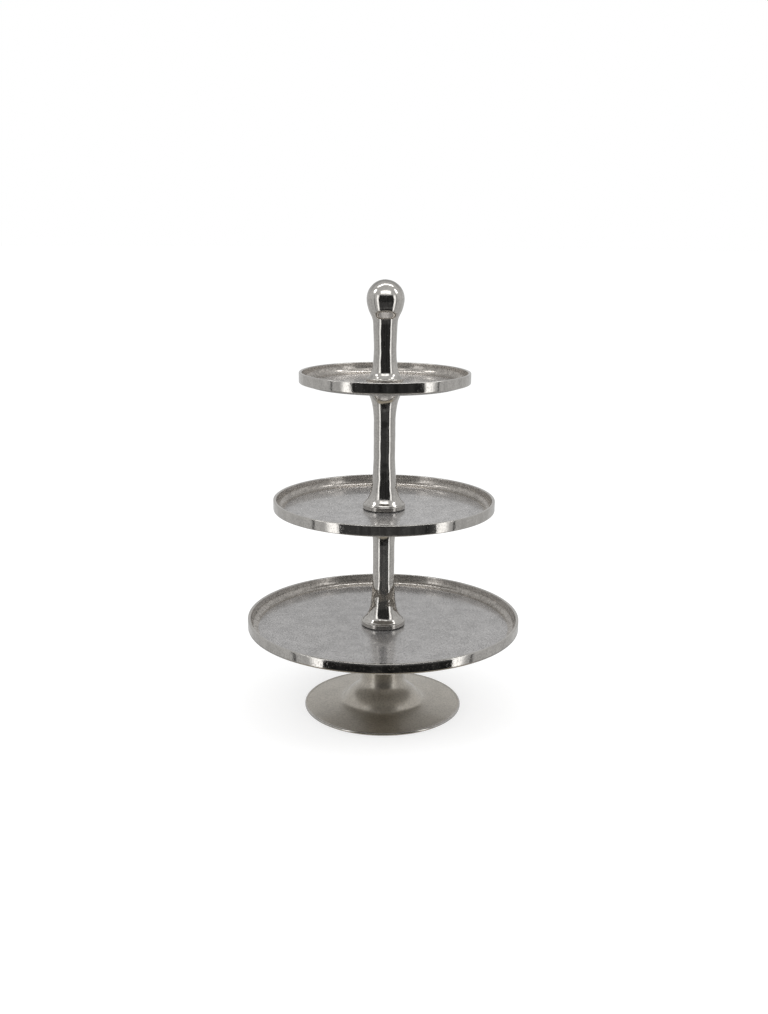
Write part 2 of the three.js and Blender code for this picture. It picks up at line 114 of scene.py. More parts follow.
# Nickel finishes: sizes of specks and clouds and depth of the relief in metres, then as shares the
# contrast, how much duller the pits are, the gloss on top, and the pale film that dims the metal
NICKELS = {
    "satin_floor": {"speck": 0.0022, "cloud": 0.02, "depth": 0.00003, "contrast": 0.3, "pits": 0.1,
                    "gloss": 0.4, "film": 0.34},
    "cast_wall": {"speck": 0.0036, "cloud": 0.02, "depth": 0.00007, "contrast": 0.24, "pits": 0.11,
                  "gloss": 0.1, "film": 0.25},
    "hand_polished_nickel": {"speck": 0.0026, "cloud": 0.03, "depth": 0.00004, "contrast": 0.12,
                             "pits": 0.13, "gloss": 0.0, "film": 0.0},
    "cast_underside": {"speck": 0.0024, "cloud": 0.03, "depth": 0.00008, "contrast": 0.2,
                       "pits": 0.1, "gloss": 0.0, "film": 0.4},
    "satin_foot": {"speck": 0.0024, "cloud": 0.03, "depth": 0.00003, "contrast": 0.14, "pits": 0.08,
                   "gloss": 0.8, "film": 0.04},
}
CLOUD_SHARE = 0.4

# Bands of a noise that a colour or a roughness is stretched over
NOISE_BAND = (0.3, 0.7)
SPECK_BAND = (0.58, 0.82)
PIT_BAND = (0.36, 0.46)
FELT_BAND = (0.6, 1.2)
SMOOTHEST_COAT = 0.04

# The camera, fitted to the photo: lens in mm, place in metres, tilt down and roll in radians
LENS, SENSOR = 39.71, 36.0
CAMERA_PLACE = (0.0, -1.57578, 0.6986)
PITCH, ROLL = 0.2441, 0.0077

# The soft lamps, in metres
LAMP_PLACES = {"left_lamp": (-1.3, -0.9, 1.7), "right_lamp": (1.4, -0.5, 1.6)}
LAMP_AIM = (0, 0, 0.3)
LAMP_SIZE = 1.2

# The light tent's fineness, and the places on it in degrees. Turn is round from the front, rise
# is up and fall is down from level, across is to either side of the middle, and over runs from the
# front over the top. A pair is where something begins and where it is whole.
TENT_COLUMNS, TENT_ROWS = 360, 150
BACK_TURN, BACK_RISE, BACK_DIM_RISE = (112, 150), (2, 8), (14, 30)
CLOTH_LIFT_RISE = (4, 12)
ROOF_RISE, ROOF_DIM_OVER = (26, 50), (112, 130)
# Straight below, the tent shows the table under the stand, dimmed: a painted shadow of the stand,
# seen only in reflections
GROUND_FALL, TABLE_FALL = (28, 31), (48, 60)
SEAM_TURN, SEAM_END = (70, 73, 0.8), (28, 32)
STRIP_END, STRIP_SOFT, STRIP_TOP, STRIP_FOOT = 59, 4, (28, 36), (28, 32)
LAMP_SPOTS = [
    ("lamp", "over", (43, 60, 4), "across", (-1, 24, 4)),
    ("far_lamp", "over", (93, 99, 2), "across", (-1, 27, 4)),
    ("far_lamp", "turn", (77, 89, 5), "rise", (39, 51, 5)),
]
ROOM_GLOWS = [(0.9, (-25.5, -6, 1.5)), (1.4, (-25.5, -19, 1.5))]
ROOM_DIM_FALL, ROOM_GROUND_FALL, ROOM_TOP = (25, 27), (30, 33), (32.5, 35.5)
OPENING_NARROW_RISE, OPENING_WIDE_FALL, OPENING_SOFT_RISE = (8, 28), (18, 26), (-8, 0)
WARM_FALL, WARM_TURN = (29, 34), (60, 100)
OPENING_NARROW, OPENING_WIDE, OPENING_SOFT, OPENING_SOFTER = 4, 3, 0.8, 1.6

# The light tent's tones, as shares of the setting that each follows
BACK_FOOT_SHARE, BACK_DIM_SHARE, CLOTH_LIFT_SHARE, FOLD_SHARE = 1.1, 0.2, 0.15, 0.08
ROOF_DIM_SHARE, SEAM_SHARE, STRIP_SHARE = 0.35, 0.8, 0.8
ROOM_DIM_SHARE, MURK_SHARE, ROOM_GROUND_SHARE = 0.5, 0.7, 0.95

# How fast the cloth's folds and the room's murk change, in waves or lumps for each degree
FOLD_WAVES, FOLD_SHIFT = (0.31, 0.13), 1.1
SLOW_MURK, FINE_MURK = (0.11, 0.07, 0), (0.4, 0.3, 9)


def length(name, description, default):
    """A size in metres that a user can change."""
    return bpy.props.FloatProperty(
        name=name, description=description, default=default, min=0.0, precision=5,
        subtype="DISTANCE", unit="LENGTH")


def tone(name, description, default):
    """A surface colour that a user can change."""
    return bpy.props.FloatVectorProperty(
        name=name, description=description, default=default, min=0.0, max=1.0, size=3,
        subtype="COLOR")


def level(name, description, default, top=1.0):
    """A plain number, such as a roughness or a strength."""
    return bpy.props.FloatProperty(
        name=name, description=description, default=default, min=0.0, max=top, precision=3)


class TraySizes(bpy.types.PropertyGroup):
    """Section of a tray, which all three share"""

    rim_band: length("Rim band", "Height of the upright outer band", 0.0147)
    rim_land: length("Rim land", "Width of the rim's flat top", 0.0044)
    rim_round: length("Rim round", "Radius of the rim's edges", 0.0011)
    floor_depth: length("Floor depth", "From the rim's top down to the floor", 0.0157)
    cove_run: length("Cove run", "How far the inner wall sweeps in", 0.011)
    plate: length("Plate", "Thickness of the floor", 0.0033)
    under_run: length("Under run", "Slope under the rim, from the band in to the plate", 0.015)
    hub_radius: length("Hub radius", "Thicker round under the hole", 0.034)
    hub_drop: length("Hub drop", "How far the hub stands below the plate", 0.003)
    bore: length("Bore", "Radius of the hole for the screw", 0.0056)
    floor_swell: length("Floor swell", "Unevenness left in the cast floor", 0.00005)
    wall_swell: length("Wall swell", "Unevenness left in the cast inner wall", 0.0002)
    band_swell: length("Band swell", "Unevenness left in the polished band", 0.0002)


class StemSizes(bpy.types.PropertyGroup):
    """Stems and the handle"""

    flange_edge: length("Flange edge", "Upright edge of a base flange", 0.0046)
    flange_round: length("Flange round", "Radius over a base flange's edge", 0.002)
    soft_edge: length("Soft edge", "Radius under a base flange's or a collar's edge", 0.0004)
    flare_height: length("Flare height", "From a stem's flange up to its waist", 0.066)
    lower_waist: length("Lower waist", "Radius of the lower stem", 0.0161)
    middle_waist: length("Middle waist", "Radius of the middle stem", 0.0158)
    collar: length("Collar", "Radius of the collar that carries a tray", 0.0274)
    collar_edge: length("Collar edge", "Height of the collar's edge", 0.004)
    collar_round: length("Collar round", "Radius over the collar's edge", 0.0014)
    collar_flare: length("Collar flare", "Height of the flare under the collar", 0.042)
    grip: length("Grip", "Radius of the handle's slim part", 0.0162)
    grip_flare: length("Grip flare", "Height of the flare at the handle's foot", 0.038)
    ball: length("Ball", "Radius of the handle's ball", 0.0268)
    ball_drop: length("Ball drop", "From the ball's centre to where the grip is slimmest", 0.068)
    tapped: length("Tapped bore", "Radius of a tapped bore", 0.00535)
    tapped_depth: length("Tapped depth", "Depth of the bore in a flange", 0.018)
    socket_depth: length("Socket depth", "Depth of the bore that holds a stud", 0.0203)
    bore_chamfer: length("Bore chamfer", "Chamfer at a bore's mouth", 0.0007)
    seal_inset: length("Seal inset", "How far a rubber washer stays inside its flange", 0.0012)
    swell: length("Swell", "Unevenness left by hand polishing", 0.0006)


class FootSizes(bpy.types.PropertyGroup):
    """The bell-shaped foot and its pads"""

    wall: length("Wall", "Thickness of the casting", 0.003)
    crown: length("Crown", "Thickness of the top that the bolt passes through", 0.009)
    lip_height: length("Lip height", "Rolled edge, above the land", 0.0041)
    lip_round: length("Lip round", "Radius of the rolled edge", 0.0018)
    lip_width: length("Lip width", "Width of the rolled edge", 0.0026)
    lip_step: length("Lip step", "From the lip's crest down to the disc", 0.0005)
    land: length("Land", "Width of the flat ring underneath", 0.02)
    disc: length("Disc", "Table to the disc where the bell begins", 0.006)
    bell: length("Bell", "Radius of the bell", 0.0576)
    bell_height: length("Bell height", "From the disc to the plain neck", 0.052)
    neck: length("Neck", "Radius of the neck", 0.03)
    neck_straight: length("Neck straight", "Plain stretch of the neck", 0.038)
    crown_radius: length("Crown radius", "Radius of the face that carries the tray", 0.036)
    crown_flare: length("Crown flare", "Height of the flare under the crown", 0.014)
    crown_edge: length("Crown edge", "Upright edge of the crown", 0.003)
    crown_round: length("Crown round", "Radius of the crown's edge", 0.0006)
    bore: length("Bore", "Radius of the hole for the bolt", 0.0056)
    pocket: length("Pocket", "Radius of a pad's pocket", 0.0063)
    pocket_top: length("Pocket top", "Table to the top of a pad's pocket", 0.0015)
    pad_round: length("Pad round", "Radius of a pad's worn edge", 0.0003)
    swell: length("Swell", "Unevenness left in the casting", 0.00007)


class FastenerSizes(bpy.types.PropertyGroup):
    """Bolt, studs and washers"""

    thread: length("Thread", "Radius over the thread's crest", 0.005)
    pitch: length("Pitch", "Rise of the thread in a turn", 0.0015)
    depth: length("Depth", "Depth of the thread", 0.00092)
    chamfer: length("Chamfer", "Chamfer at a screw's end", 0.0008)
    engaged: length("Engaged", "Length of thread in a stem above", 0.015)
    root: length("Root", "Length of thread at a stud's foot", 0.012)
    across_flats: length("Across flats", "Width of the bolt's head", 0.017)
    head: length("Head", "Height of the bolt's head", 0.0064)
    head_edge: length("Head edge", "Softening of the head's corners on its seat", 0.00015)
    spring: length("Spring", "How far the lock washer's ends stand up and down", 0.00006)
    plate_inner: length("Washer bore", "Radius of the hole in each washer", 0.0055)
    slit: length("Slit", "Gap in the lock washer", 0.001)
    edge: length("Edge", "Radius of a stamped edge", 0.0003)


class Finishes(bpy.types.PropertyGroup):
    """Colours and roughness of each finish"""

    satin: tone("Satin", "Tray floors", (0.5, 0.488, 0.482))
    satin_rough: level("Satin roughness", "Tray floors", 0.22)
    wall: tone("Wall", "Cast inner wall of a tray", (0.5, 0.47, 0.435))
    wall_rough: level("Wall roughness", "Cast inner wall of a tray", 0.19)
    polished: tone("Polished", "Stems, handle and rim bands", (0.60, 0.58, 0.55))
    polished_rough: level("Polished roughness", "Stems, handle and rim bands", 0.05)
    foot: tone("Foot", "The foot's outside", (0.6, 0.558, 0.488))
    foot_rough: level("Foot roughness", "The foot's outside", 0.37)
    under: tone("Underside", "As-cast undersides", (0.52, 0.505, 0.485))
    under_rough: level("Underside roughness", "As-cast undersides", 0.45)
    zinc: tone("Zinc", "Bolt, studs and steel washers", (0.52, 0.53, 0.54))
    zinc_rough: level("Zinc roughness", "Bolt, studs and steel washers", 0.3)
    rubber: tone("Rubber", "Washers under the flanges", (0.02, 0.019, 0.018))
    felt: tone("Felt", "Pads under the foot", (0.055, 0.05, 0.046))


class StageSettings(bpy.types.PropertyGroup):
    """Floor, light tent, lamps and camera"""

    floor: tone("Floor", "Colour of the floor", (0.5, 0.5, 0.5))
    floor_lift: level("Floor lift", "Light that the camera sees in the floor itself", 0.6)
    floor_radius: length("Floor radius", "Radius of the floor", 40.0)
    tent_radius: length("Tent radius", "Radius of the light tent's dome", 1.3)
    tent_centre: length("Tent centre", "Height of the dome's centre", 0.35)
    opening: level("Opening", "Half width of the tent's dark opening in degrees", 47.0, 90.0)
    opening_turn: level("Opening turn", "Turn of the opening to the right in degrees", 4.0, 90.0)
    dark: level("Dark", "Brightness of the room seen through the opening", 0.032)
    lamp: level("Lamp", "Brightness of the lamps' cloths", 2.1, 10.0)
    far_lamp: level("Far lamp", "Brightness of the lamps overhead and at the sides", 6.0, 100.0)
    cloth: level("Cloth", "Brightness of the cloth at the sides", 0.55, 10.0)
    back: level("Back", "Brightness of the cloth behind", 0.54, 10.0)
    ground: level("Ground", "Brightness of the dim ground round the stand", 0.4, 10.0)
    ground_tint: tone("Ground tint", "Warm colour of the ground in front", (1.0, 0.9, 0.72))
    # The table's brightness is a painted shadow: the floor under the stand, dimmed as if the stand
    # shades it
    table: level("Table", "Brightness of the table right under the stand", 0.65, 10.0)
    roof: level("Roof", "Brightness of the cloth overhead", 0.62, 10.0)
    lamp_power: level("Lamp power", "Power of each soft lamp in watts", 9.0, 1000.0)
    sky: level("Sky", "Strength of the light that matt surfaces get from all round", 0.9, 10.0)


# Outlines
def arc(centre, across, up, start=0.0, end=QUARTER, steps=5):
    """Points of part of an ellipse, from one angle to another."""
    angles = [start + (end - start) * i / steps for i in range(steps + 1)]
    return [(centre[0] + across * math.cos(a), centre[1] + up * math.sin(a)) for a in angles]


def bowl(centre, across, up, steps):
    """A quarter from the side round to the bottom, fuller in its corner than an ellipse."""
    angles = [QUARTER * i / steps for i in range(steps + 1)]
    return [(centre[0] + across * math.cos(a) ** CORNER_POWER,
             centre[1] + up * math.sin(a) ** CORNER_POWER) for a in angles]


def evenly(points, step):
    """The same outline, with points added so that no gap is longer than the step."""
    made = [points[0]]
    for a, b in zip(points, points[1:]):
        count = max(1, math.ceil(math.dist(a, b) / step))
        for i in range(1, count + 1):
            made.append((a[0] + (b[0] - a[0]) * i / count, a[1] + (b[1] - a[1]) * i / count))
    return made


def flowing(points, steps):
    """A smooth curve that starts and ends where the outline does, and follows its points."""
    ahead = tuple(2 * a - b for a, b in zip(points[0], points[1]))
    after = tuple(2 * a - b for a, b in zip(points[-1], points[-2]))
    guide = [ahead, *points, after]
    made = []
    for i in range(len(points) - 1):
        for j in range(steps):
            t = j / steps
            weights = ((1 - t) ** 3, 3 * t ** 3 - 6 * t ** 2 + 4,
                       -3 * t ** 3 + 3 * t ** 2 + 3 * t + 1, t ** 3)
            spots = guide[i:i + 4]
            made.append(tuple(sum(w * p[k] for w, p in zip(weights, spots)) / 6 for k in (0, 1)))
    made.append(points[-1])
    return made


def inset(points, wall):
    """The outline moved inwards by one wall, for the hollow side of a casting."""
    made = []
    for i, here in enumerate(points):
        a = points[max(i - 1, 0)]
        b = points[min(i + 1, len(points) - 1)]
        size = math.dist(a, b)
        made.append((here[0] - (b[1] - a[1]) / size * wall, here[1] + (b[0] - a[0]) / size * wall))
    return made


class Outline:
    """An outline made of runs, each with its own surface and its own unevenness."""

    def __init__(self):
        self.points = []
        self.surfaces = []
        self.swells = []

    def run(self, points, surface=MAIN, swell=0.0):
        """Adds a run of points, but for those where the outline already is."""
        for here in points:
            if self.points and math.dist(self.points[-1], here) < TOUCHING:
                continue
            self.points.append(here)
            self.surfaces.append(surface)
            self.swells.append(swell)
        return self


# Meshes
def swelling(place, seed):
    """Cast unevenness at a place, from 0 to 1: a slow swell and a finer one."""
    slow = noise.noise(place * 30 + Vector((seed, 0, 0)))
    fine = noise.noise(place * 95 + Vector((0, seed, 0)))
    return min(1.0, max(0.0, 0.5 + 0.25 * slow + 0.32 * fine))


def mesh_object(name, vertices, faces, surfaces=None, materials=(), crease=CREASE):
    """A smooth-shaded mesh object, with its edges sharp past the crease angle in degrees."""
    mesh = bpy.data.meshes.new(name)
    mesh.from_pydata(vertices, [], faces)
    for material in materials:
        mesh.materials.append(material)
    if surfaces:
        mesh.polygons.foreach_set("material_index", surfaces)
    mesh.polygons.foreach_set("use_smooth", [True] * len(mesh.polygons))
    mesh.set_sharp_from_angle(angle=math.radians(crease))
    mesh.validate()
    mesh.update()
    piece = bpy.data.objects.new(name, mesh)
    bpy.context.scene.collection.objects.link(piece)
    return piece


def bridged(low, high):
    """Faces between two rings of points. A point that a face would have twice is left out."""
    faces = []
    for j, here in enumerate(low):
        k = (j + 1) % len(low)
        corners = (here, low[k], high[k], high[j])
        face = [v for n, v in enumerate(corners) if v not in corners[:n]]
        if len(face) > 2:
            faces.append(face)
    return faces


def turned(name, outline, sides, materials, closed=True, seed=0.0):
    """A piece turned about the vertical axis from its outline, as one closed body."""
    points = outline.points
    count = len(points)
    vertices, rings = [], []
    for i, (radius, height) in enumerate(points):
        before = points[i - 1] if i or closed else points[0]
        after = points[(i + 1) % count] if i < count - 1 or closed else points[-1]
        span = math.dist(before, after) or 1.0
        out = ((after[1] - before[1]) / span, (before[0] - after[0]) / span)
        first = len(vertices)
        if radius < TOUCHING:
            vertices.append((0.0, 0.0, height))
            rings.append([first] * sides)
            continue
        for j in range(sides):
            across, along = math.cos(math.tau * j / sides), math.sin(math.tau * j / sides)
            push = 0.0
            if outline.swells[i]:
                place = Vector((radius * across, radius * along, height))
                push = -outline.swells[i] * swelling(place, seed)
            reach = radius + push * out[0]
            vertices.append((reach * across, reach * along, height + push * out[1]))
        rings.append(list(range(first, first + sides)))
    faces, surfaces = [], []
    for i in range(count if closed else count - 1):
        upper = (i + 1) % count
        made = bridged(rings[i], rings[upper])
        faces += made
        surfaces += [outline.surfaces[upper]] * len(made)
    return mesh_object(name, vertices, faces, surfaces, materials)


def seated(piece, node):
    """Seats a finished piece in the frame in the place of a CAD node."""
    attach(piece, frame["nodes"][node]["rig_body"])
    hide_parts(node)


# Materials
def empty_material(name):
    """A new material with nothing in its node tree."""
    material = bpy.data.materials.new(name)
    material.use_nodes = True
    material.node_tree.nodes.clear()
    return material


def fill(tree, node, inputs):
    """Links each input of a node to another node's output, or sets it to a value."""
    for name, value in inputs.items():
        if isinstance(value, bpy.types.NodeSocket):
            tree.links.new(value, node.inputs[name])
        else:
            node.inputs[name].default_value = value


def add(tree, kind, inputs=None, output=0, **settings):
    """Adds a node with its settings, fills its inputs, and returns one of its outputs."""
    node = tree.nodes.new(kind)
    for name, value in settings.items():
        setattr(node, name, value)
    fill(tree, node, inputs or {})
    return node.outputs[output]


def show(tree, surface):
    """Puts a shader on the material's surface."""
    fill(tree, tree.nodes.new("ShaderNodeOutputMaterial"), {"Surface": surface})


def grain(tree, size, detail, stretch=(1, 1, 1)):
    """Noise of a real grain size in metres, in the piece's own coordinates."""
    place = add(tree, "ShaderNodeTexCoord", output="Object")
    stretched = add(tree, "ShaderNodeMapping", {"Vector": place, "Scale": stretch})
    return add(tree, "ShaderNodeTexNoise",
               {"Vector": stretched, "Scale": 1 / size, "Detail": detail})


def spread(tree, value, low, high, band=NOISE_BAND):
    """Stretches a band of a noise to run from one number to another."""
    return add(tree, "ShaderNodeMapRange", {
        "Value": value, "From Min": band[0], "From Max": band[1], "To Min": low, "To Max": high})


def total(tree, first, second, share):
    """One height made of two, the second with its share."""
    return add(tree, "ShaderNodeMath", {0: second, 1: share, 2: first}, operation="MULTIPLY_ADD")


def shaded(tree, height, colour, dark, light, band=NOISE_BAND):
    """A colour that a noise takes from one amount of it to another."""
    ramp = add(tree, "ShaderNodeValToRGB", {"Fac": spread(tree, height, 0, 1, band)})
    for element, amount in zip(ramp.node.color_ramp.elements, (dark, light)):
        element.color = (*(min(1.0, c * amount) for c in colour), 1)
    return ramp


def surfaced(material, height, depth, inputs):
    """Gives a material its main shader, with fine relief of a real depth in metres."""
    tree = material.node_tree
    relief = add(tree, "ShaderNodeBump", {"Height": height, "Strength": 1.0, "Distance": depth})
    show(tree, add(tree, "ShaderNodeBsdfPrincipled", {**inputs, "Normal": relief}))
    return material


def nickel(name, colour, roughness):
    """Nickel plate over a casting: duller pits, specks, clouds, relief, a gloss and a pale film."""
    look = NICKELS[name]
    material = empty_material(name)
    tree = material.node_tree
    specks = grain(tree, look["speck"], detail=3)
    clouds = grain(tree, look["cloud"], detail=2)
    both = total(tree, specks, clouds, CLOUD_SHARE)
    contrast = look["contrast"]
    return surfaced(material, specks, look["depth"], {
        "Base Color": shaded(tree, both, colour, 1 - contrast, 1 + contrast / 2, SPECK_BAND),
        "Roughness": spread(tree, specks, roughness + look["pits"], roughness, PIT_BAND),
        "Metallic": 1.0 - look["film"],
        "Coat Weight": look["gloss"],
        "Coat Roughness": max(SMOOTHEST_COAT, roughness ** 2)})


def bright_zinc(name, colour, roughness):
    """Bright zinc plate with faint drawing marks."""
    material = empty_material(name)
    tree = material.node_tree
    marks = grain(tree, size=0.0008, detail=4, stretch=(1, 1, 4))
    return surfaced(material, marks, 0.00001, {
        "Base Color": shaded(tree, marks, colour, dark=0.82, light=1.08),
        "Roughness": spread(tree, marks, low=roughness * 0.8, high=roughness * 1.3),
        "Metallic": 1.0})


def moulded_rubber(name, colour):
    """Moulded rubber with a fine matt skin."""
    material = empty_material(name)
    tree = material.node_tree
    skin = grain(tree, size=0.0006, detail=3)
    return surfaced(material, skin, 0.00002, {
        "Base Color": shaded(tree, skin, colour, dark=0.75, light=1.35),
        "Roughness": spread(tree, skin, low=0.6, high=0.8)})


def pressed_felt(name, colour):
    """Pressed felt: short fibres that lie every way, with a soft sheen."""
    material = empty_material(name)
    tree = material.node_tree
    fibres = grain(tree, size=0.0005, detail=5, stretch=(1, 3, 1))
    crossed = grain(tree, size=0.0005, detail=5, stretch=(3, 1, 1))
    both = total(tree, fibres, crossed, share=0.8)
    return surfaced(material, both, 0.00012, {
        "Base Color": shaded(tree, both, colour, dark=0.6, light=1.7, band=FELT_BAND),
        "Roughness": 1.0,
        "Sheen Weight": 0.4})


# What makes each finish, and the settings that it takes
FINISH_MAKERS = {
    "satin_floor": (nickel, "satin", "satin_rough"),
    "cast_wall": (nickel, "wall", "wall_rough"),
    "hand_polished_nickel": (nickel, "polished", "polished_rough"),
    "cast_underside": (nickel, "under", "under_rough"),
    "satin_foot": (nickel, "foot", "foot_rough"),
    "bright_zinc": (bright_zinc, "zinc", "zinc_rough"),
    "moulded_rubber": (moulded_rubber, "rubber"),
    "pressed_felt": (pressed_felt, "felt"),
}


def finish(name, look):
    """A finish by its name, made the first time it is asked for."""
    make, colour, *others = FINISH_MAKERS[name]
    values = [getattr(look, other) for other in others]
    return bpy.data.materials.get(name) or make(name, tuple(getattr(look, colour)), *values)


def casting_finishes(main, look):
    """Materials of a casting, in the order of its surfaces."""
    names = (main, "cast_wall", "hand_polished_nickel", "cast_underside")
    return [finish(name, look) for name in names]


# Turned pieces
def tray_outline(node, sizes):
    """Outline of a tray: underside, band, rim, cove and floor, and the hole's wall."""
    low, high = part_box(node)
    radius, top = high.x, high.z
    floor = top - sizes.floor_depth
    under = floor - sizes.plate
    hub = under - sizes.hub_drop
    foot = top - sizes.rim_band
    r = sizes.rim_round
    cove = (radius - sizes.rim_land - sizes.cove_run, top - r)
    band, faint = sizes.band_swell, sizes.floor_swell
    inner = radius - sizes.rim_land + r
    outline = Outline()
    outline.run(evenly([(sizes.bore, hub), (sizes.hub_radius, hub)], UNDER_STEP), UNDER)
    outline.run(arc((sizes.hub_radius, under), sizes.hub_drop, -sizes.hub_drop, QUARTER, 0), UNDER)
    round_foot = arc((radius - r, foot + r), r, r, -math.pi / 2.5, 0, 4)
    slope = [(sizes.hub_radius + sizes.hub_drop, under), (radius - sizes.under_run, under),
             round_foot[0]]
    outline.run(evenly(slope, UNDER_STEP), UNDER, faint)
    outline.run(round_foot, POLISHED, band)
    outline.run(evenly([(radius, foot + r), (radius, top - r)], BAND_STEP), POLISHED, band)
    outline.run(arc((radius - r, top - r), r, r), POLISHED, band)
    outline.run(evenly([(radius - r, top), (inner, top)], EDGE_STEP), POLISHED, faint)
    outline.run(arc((inner, top - r), -r, r, QUARTER, 0), POLISHED, faint)
    outline.run(bowl(cove, sizes.cove_run, r - sizes.floor_depth, 22)[1:], WALL, sizes.wall_swell)
    outline.run(evenly([(cove[0], floor), (sizes.bore, floor)], FLOOR_STEP)[1:], MAIN, faint)
    settle_seat(outline, sizes, floor)
    return outline


def settle_seat(outline, sizes, floor):
    """Leaves the floor flat where a flange and its washer stand on it."""
    for i, (radius, height) in enumerate(outline.points):
        if height >= floor - TOUCHING and radius < sizes.hub_radius:
            outline.swells[i] = 0.0


def base_outline(outline, base, flange, waist, flare_height, sizes):
    """Foot of a stem: tapped bore, flat face, upright edge, round and flare up to the waist."""
    bore, c = sizes.tapped, sizes.bore_chamfer
    r, edge = sizes.flange_round, sizes.soft_edge
    depth = base + sizes.tapped_depth
    shoulder = base + sizes.flange_edge + r
    outline.run([(0.0, depth + bore / 2), (bore, depth), (bore, base + c), (bore + c, base)])
    outline.run(evenly([(bore + c, base), (flange - edge, base)], FACE_STEP))
    outline.run(arc((flange - edge, base + edge), edge, edge, -QUARTER, 0, 3))
    wall = [(flange, base + edge), (flange, shoulder - r)]
    outline.run(evenly(wall, EDGE_STEP), swell=sizes.swell / 2)
    outline.run(arc((flange - r, shoulder - r), r, r, steps=8), swell=sizes.swell / 2)
    across = flange - r - waist
    flare = [(waist + across * a, shoulder + flare_height * b) for a, b in FLARE_SHARES]
    outline.run(evenly(flowing(flare, 8), STEM_STEP), swell=sizes.swell)


def stem_outline(node, waist, sizes):
    """Outline of a stem, from the bore in its foot to the bore in its collar."""
    low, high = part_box(node)
    base, top, flange = low.z, high.z, high.x
    outline = Outline()
    base_outline(outline, base, flange, waist, sizes.flare_height, sizes)
    foot = top - sizes.collar_edge
    flare = [(waist + (sizes.collar - waist) * a, foot - sizes.collar_flare * b)
             for a, b in reversed(COLLAR_SHARES)]
    plain = [(waist, base + sizes.flange_edge + sizes.flange_round + sizes.flare_height), flare[0]]
    outline.run(evenly(plain, STEM_STEP), swell=sizes.swell)
    outline.run(evenly(flowing(flare, 8), STEM_STEP), swell=sizes.swell)
    r = sizes.collar_round
    outline.run([(sizes.collar, foot + sizes.soft_edge), (sizes.collar, top - r)])
    outline.run(arc((sizes.collar - r, top - r), r, r, steps=6))
    bore, c = sizes.tapped, sizes.bore_chamfer
    depth = top - sizes.socket_depth
    outline.run([(bore + c, top), (bore, top - c), (bore, depth), (0.0, depth - bore / 2)])
    return outline


def handle_outline(node, sizes):
    """Outline of the handle: base, grip and ball in one casting."""
    low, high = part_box(node)
    base, top = low.z, high.z
    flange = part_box("handle_washer")[1].x + sizes.seal_inset
    centre = top - sizes.ball
    outline = Outline()
    base_outline(outline, base, flange, sizes.grip, sizes.grip_flare, sizes)
    shoulder = base + sizes.flange_edge + sizes.flange_round + sizes.grip_flare
    slim = centre - sizes.ball_drop
    if slim > shoulder:
        plain = [(sizes.grip, shoulder), (sizes.grip, slim)]
        outline.run(evenly(plain, STEM_STEP), swell=sizes.swell)
    foot = -math.pi / 18
    neck = [(sizes.grip + (sizes.ball - sizes.grip) * a, centre - sizes.ball_drop * b)
            for a, b in reversed(NECK_SHARES)]
    ball = arc((0.0, centre), sizes.ball, sizes.ball, foot, steps=56)
    blend = [*neck, ball[0], ball[2], ball[4]]
    outline.run(evenly(flowing(blend, 8), STEM_STEP), swell=sizes.swell)
    outline.run(ball[5:-1], swell=sizes.swell)
    outline.run([(0.0, top - sizes.swell / 2)])
    return outline


def foot_outline(sizes):
    """Outline of the foot: land, lip, disc, bell, neck and crown, and the hollow inside."""
    low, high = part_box("foot")
    radius, base, top = high.x, low.z, high.z
    lip_top = base + sizes.lip_height
    r = sizes.lip_round
    land = radius - sizes.land
    disc_edge = (radius - sizes.lip_width, lip_top - sizes.lip_step)
    bell = [(sizes.neck + (sizes.bell - sizes.neck) * a, sizes.disc + sizes.bell_height * b)
            for a, b in BELL_SHARES]
    neck_top = (sizes.neck, sizes.disc + sizes.bell_height + sizes.neck_straight)
    side = flowing(evenly([disc_edge, *bell, neck_top], GUIDE_STEP), 5)
    lip_foot = radius - r
    ease_off = LIP_SHARES["ease"] * r
    inside_lip = [(lip_foot, lip_top), (radius - LIP_SHARES["crest"] * r, lip_top - ease_off),
                  (radius - LIP_SHARES["disc"] * r, disc_edge[1] + ease_off), disc_edge]
    outline = Outline()
    outline.run(evenly([(land, base), (lip_foot, base)], LAND_STEP), UNDER)
    outline.run(arc((lip_foot, base + r), r, r, -QUARTER, 0), POLISHED, sizes.swell / 2)
    outline.run(arc((lip_foot, lip_top - r), r, r, steps=7), POLISHED, sizes.swell / 2)
    outline.run(flowing(inside_lip, 3), MAIN, sizes.swell / 2)
    outline.run(side, MAIN, sizes.swell)
    flare_foot = (sizes.crown_radius, top - sizes.crown_edge - sizes.crown_flare)
    outline.run(arc(flare_foot, sizes.neck - sizes.crown_radius, sizes.crown_flare, steps=16),
                MAIN, sizes.swell)
    c = sizes.crown_round
    outline.run([(sizes.crown_radius, top - c)], MAIN)
    outline.run(arc((sizes.crown_radius - c, top - c), c, c, steps=4), MAIN)
    ceiling = top - sizes.crown
    corner = (sizes.neck - 2 * sizes.wall, ceiling - sizes.wall)
    outline.run([(sizes.bore, top), (sizes.bore, ceiling), (corner[0], ceiling)], UNDER)
    outline.run(arc(corner, sizes.wall, sizes.wall, QUARTER, 0), UNDER)
    inside = [p for p in reversed(inset(side, sizes.wall)) if p[0] < land and p[1] < corner[1]]
    outline.run(inside[::2], UNDER, sizes.swell)
    outline.run([(land, inside[-1][1]), (land, base)], UNDER)
    return outline


def ring_outline(inner, outer, bottom, top, edge):
    """Outline of a flat ring with softened edges."""
    outline = Outline()
    corners = ((outer - edge, bottom + edge, -1), (outer - edge, top - edge, 0),
               (inner + edge, top - edge, 1), (inner + edge, bottom + edge, 2))
    for across, up, turns in corners:
        start = turns * QUARTER
        outline.run(arc((across, up), edge, edge, start, start + QUARTER, 3))
    return outline


